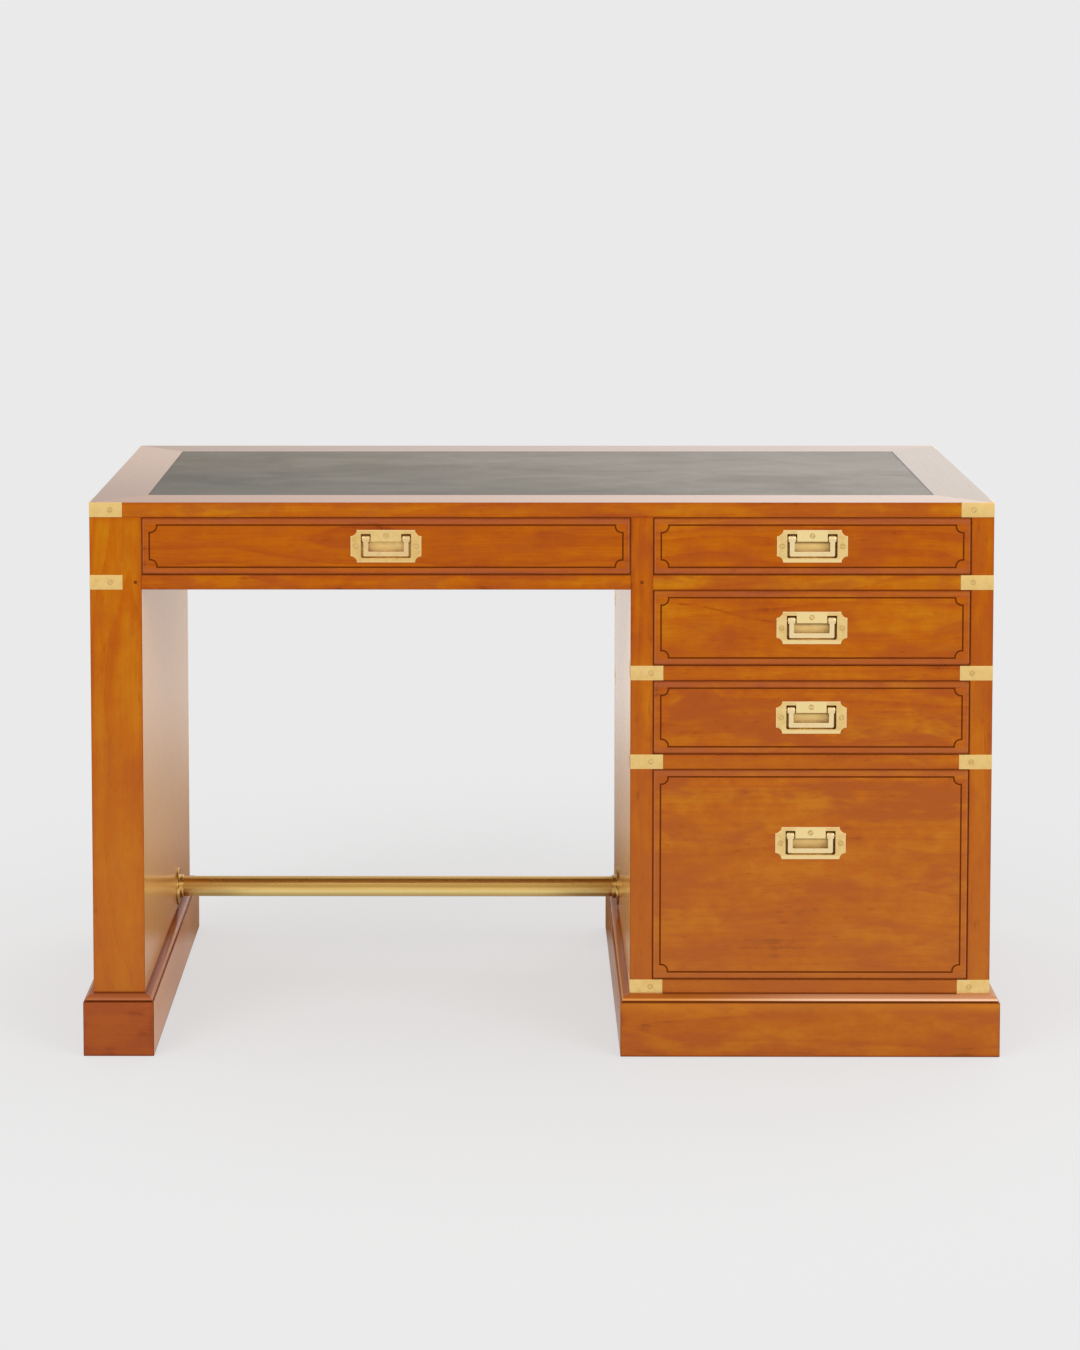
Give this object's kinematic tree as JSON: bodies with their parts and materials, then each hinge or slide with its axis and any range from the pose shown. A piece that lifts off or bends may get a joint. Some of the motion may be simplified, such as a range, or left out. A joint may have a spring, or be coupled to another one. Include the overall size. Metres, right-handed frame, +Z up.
{
  "type": "campaign desk",
  "caption": "Pedestal writing desk with a slab leg, leather lined top, inset drawers with recessed bail handles, brass corner straps, moulded plinths and a tubular foot rail.",
  "frame": {"origin": "on the floor, under the middle of the footprint of both plinths", "axes": "+X to the sitter's right along the length of the desk, +Y from the front to the back, +Z up"},
  "size_m": [1.25, 0.636, 0.76],
  "materials": {
    "polished_wood": "gloss lacquer",
    "pale_wood": "waxed",
    "green_leather": "antiqued",
    "satin_brass": "satin",
    "aged_brass": "antiqued"
  },
  "bodies": {
    "desk": {"drawer_runners": "pale_wood", "drawer_stops": "pale_wood", "foot_rail_flanges": "aged_brass", "foot_rail_screws": "aged_brass", "foot_rail_tube": "aged_brass", "frame_pegs": "polished_wood", "kneehole_front_rail": "polished_wood", "kneehole_rear_apron": "polished_wood", "leather_inset": "green_leather", "left_leg_blocking": "pale_wood", "left_leg_corner_straps": "satin_brass", "left_leg_front_post": "polished_wood", "left_leg_inner_panel": "polished_wood", "left_leg_outer_panel": "polished_wood", "left_leg_plinth": "polished_wood", "left_leg_rear_post": "polished_wood", "pedestal_back_panel": "polished_wood", "pedestal_bottom_panel": "pale_wood", "pedestal_bottom_rail": "polished_wood", "pedestal_corner_straps": "satin_brass", "pedestal_inner_side": "polished_wood", "pedestal_inner_stile": "polished_wood", "pedestal_outer_side": "polished_wood", "pedestal_outer_stile": "polished_wood", "pedestal_plinth": "polished_wood", "pedestal_rear_stiles": "polished_wood", "rail_under_second_drawer": "polished_wood", "rail_under_third_drawer": "polished_wood", "rail_under_top_drawer": "polished_wood", "strap_screws": "satin_brass", "top_border_front": "polished_wood", "top_border_left": "polished_wood", "top_border_rear": "polished_wood", "top_border_right": "polished_wood", "top_core_panel": "pale_wood"},
    "kneehole_drawer": {"kneehole_drawer_front": "polished_wood", "kneehole_drawer_box": "pale_wood", "kneehole_handle_plate": "satin_brass", "kneehole_handle_fixings": "satin_brass"},
    "kneehole_bail": {"kneehole_bail": "satin_brass"},
    "top_drawer": {"top_drawer_front": "polished_wood", "top_drawer_box": "pale_wood", "top_handle_plate": "satin_brass", "top_handle_fixings": "satin_brass"},
    "top_bail": {"top_bail": "satin_brass"},
    "second_drawer": {"second_drawer_front": "polished_wood", "second_drawer_box": "pale_wood", "second_handle_plate": "satin_brass", "second_handle_fixings": "satin_brass"},
    "second_bail": {"second_bail": "satin_brass"},
    "third_drawer": {"third_drawer_front": "polished_wood", "third_drawer_box": "pale_wood", "third_handle_plate": "satin_brass", "third_handle_fixings": "satin_brass"},
    "third_bail": {"third_bail": "satin_brass"},
    "file_drawer": {"file_drawer_front": "polished_wood", "file_drawer_box": "pale_wood", "file_handle_plate": "satin_brass", "file_handle_fixings": "satin_brass"},
    "file_bail": {"file_bail": "satin_brass"}
  },
  "joints": [
    {"name": "kneehole_drawer_slide", "type": "slide", "parent": "desk", "child": "kneehole_drawer", "axis": [0, -1, 0], "range_m": [0, 0.4]},
    {"name": "kneehole_bail_hinge", "type": "hinge", "parent": "kneehole_drawer", "child": "kneehole_bail", "pos_m": [-0.21025, -0.301, 0.70985], "axis": [-1, 0, 0], "range_deg": [0, 90]},
    {"name": "top_drawer_slide", "type": "slide", "parent": "desk", "child": "top_drawer", "axis": [0, -1, 0], "range_m": [0, 0.4]},
    {"name": "top_bail_hinge", "type": "hinge", "parent": "top_drawer", "child": "top_bail", "pos_m": [0.3665, -0.301, 0.70985], "axis": [-1, 0, 0], "range_deg": [0, 90]},
    {"name": "second_drawer_slide", "type": "slide", "parent": "desk", "child": "second_drawer", "axis": [0, -1, 0], "range_m": [0, 0.4]},
    {"name": "second_bail_hinge", "type": "hinge", "parent": "second_drawer", "child": "second_bail", "pos_m": [0.3665, -0.301, 0.59835], "axis": [-1, 0, 0], "range_deg": [0, 90]},
    {"name": "third_drawer_slide", "type": "slide", "parent": "desk", "child": "third_drawer", "axis": [0, -1, 0], "range_m": [0, 0.4]},
    {"name": "third_bail_hinge", "type": "hinge", "parent": "third_drawer", "child": "third_bail", "pos_m": [0.3665, -0.301, 0.47535], "axis": [-1, 0, 0], "range_deg": [0, 90]},
    {"name": "file_drawer_slide", "type": "slide", "parent": "desk", "child": "file_drawer", "axis": [0, -1, 0], "range_m": [0, 0.4]},
    {"name": "file_bail_hinge", "type": "hinge", "parent": "file_drawer", "child": "file_bail", "pos_m": [0.3665, -0.301, 0.30235], "axis": [-1, 0, 0], "range_deg": [0, 90]}
  ]
}
